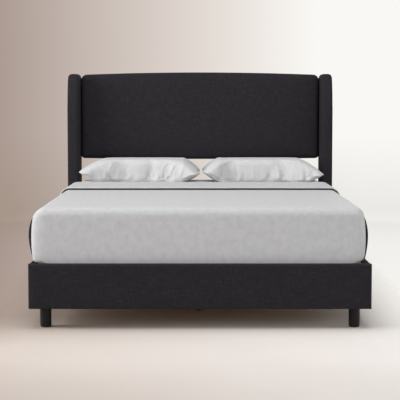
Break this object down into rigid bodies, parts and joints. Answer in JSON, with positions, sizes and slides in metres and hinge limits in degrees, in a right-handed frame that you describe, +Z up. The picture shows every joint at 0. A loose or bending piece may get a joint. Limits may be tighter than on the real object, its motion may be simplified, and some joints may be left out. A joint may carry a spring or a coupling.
{
  "type": "wingback bed",
  "caption": "Upholstered bed with a padded headboard between two rounded wings, slatted deck, mattress, folded coverlet and pillows.",
  "frame": {"origin": "on the floor under the middle of the bed", "axes": "+X to the right seen from the foot, +Y towards the headboard, +Z up"},
  "size_m": [1.676, 2.18, 1.2469],
  "materials": {
    "charcoal_linen": "matte",
    "foam": "matte",
    "pine": "matte",
    "plywood": "matte",
    "back_cloth": "matte",
    "zinc_steel": "satin",
    "black_legs": "satin",
    "nylon_glides": "matte",
    "mattress_ticking": "matte",
    "sheet_cotton": "matte",
    "coverlet_cotton": "satin",
    "charcoal_piping": "matte",
    "pillow_cotton": "matte"
  },
  "bodies": {
    "bed_frame": {"foot_rail_cover": "charcoal_linen", "head_rail_cover": "charcoal_linen", "headboard_cover": "charcoal_linen", "side_rail_cover_left": "charcoal_linen", "side_rail_cover_right": "charcoal_linen", "wing_cover_left": "charcoal_linen", "wing_cover_right": "charcoal_linen", "foot_rail_foam": "foam", "headboard_foam": "foam", "side_rail_foam_left": "foam", "side_rail_foam_right": "foam", "wing_foam_left": "foam", "wing_foam_right": "foam", "headboard_frame": "pine", "centre_beam": "pine", "centre_legs": "pine", "corner_blocks": "pine", "ledger_left": "pine", "ledger_right": "pine", "slat_01": "pine", "slat_02": "pine", "slat_03": "pine", "slat_04": "pine", "slat_05": "pine", "slat_06": "pine", "slat_07": "pine", "slat_08": "pine", "slat_09": "pine", "slat_10": "pine", "slat_11": "pine", "slat_12": "pine", "slat_13": "pine", "foot_rail_board": "plywood", "head_rail_board": "plywood", "headboard_board": "plywood", "side_rail_board_left": "plywood", "side_rail_board_right": "plywood", "wing_core_left": "plywood", "wing_core_right": "plywood", "headboard_back_cloth": "back_cloth", "beam_hangers": "zinc_steel", "bracket_bolts": "zinc_steel", "corner_brackets": "zinc_steel", "hook_plates": "zinc_steel", "rail_hooks": "zinc_steel", "wing_bolts": "zinc_steel", "leg_bolts": "zinc_steel", "leg_inserts": "zinc_steel", "front_leg_left": "black_legs", "front_leg_right": "black_legs", "rear_leg_left": "black_legs", "rear_leg_right": "black_legs", "glides": "nylon_glides"},
    "mattress": {"mattress": "mattress_ticking", "fitted_sheet": "sheet_cotton", "coverlet": "coverlet_cotton", "coverlet_piping": "charcoal_piping"},
    "pillow_left": {"pillow_left": "pillow_cotton"},
    "pillow_right": {"pillow_right": "pillow_cotton"}
  },
  "joints": [
    {"name": "mattress_lift", "type": "slide", "parent": "bed_frame", "child": "mattress", "axis": [0, 0, 1], "range_m": [0, 0.96]},
    {"name": "pillow_left_lift", "type": "slide", "parent": "mattress", "child": "pillow_left", "axis": [0, 0, 1], "range_m": [0, 0.7]},
    {"name": "pillow_right_lift", "type": "slide", "parent": "mattress", "child": "pillow_right", "axis": [0, 0, 1], "range_m": [0, 0.7]}
  ]
}
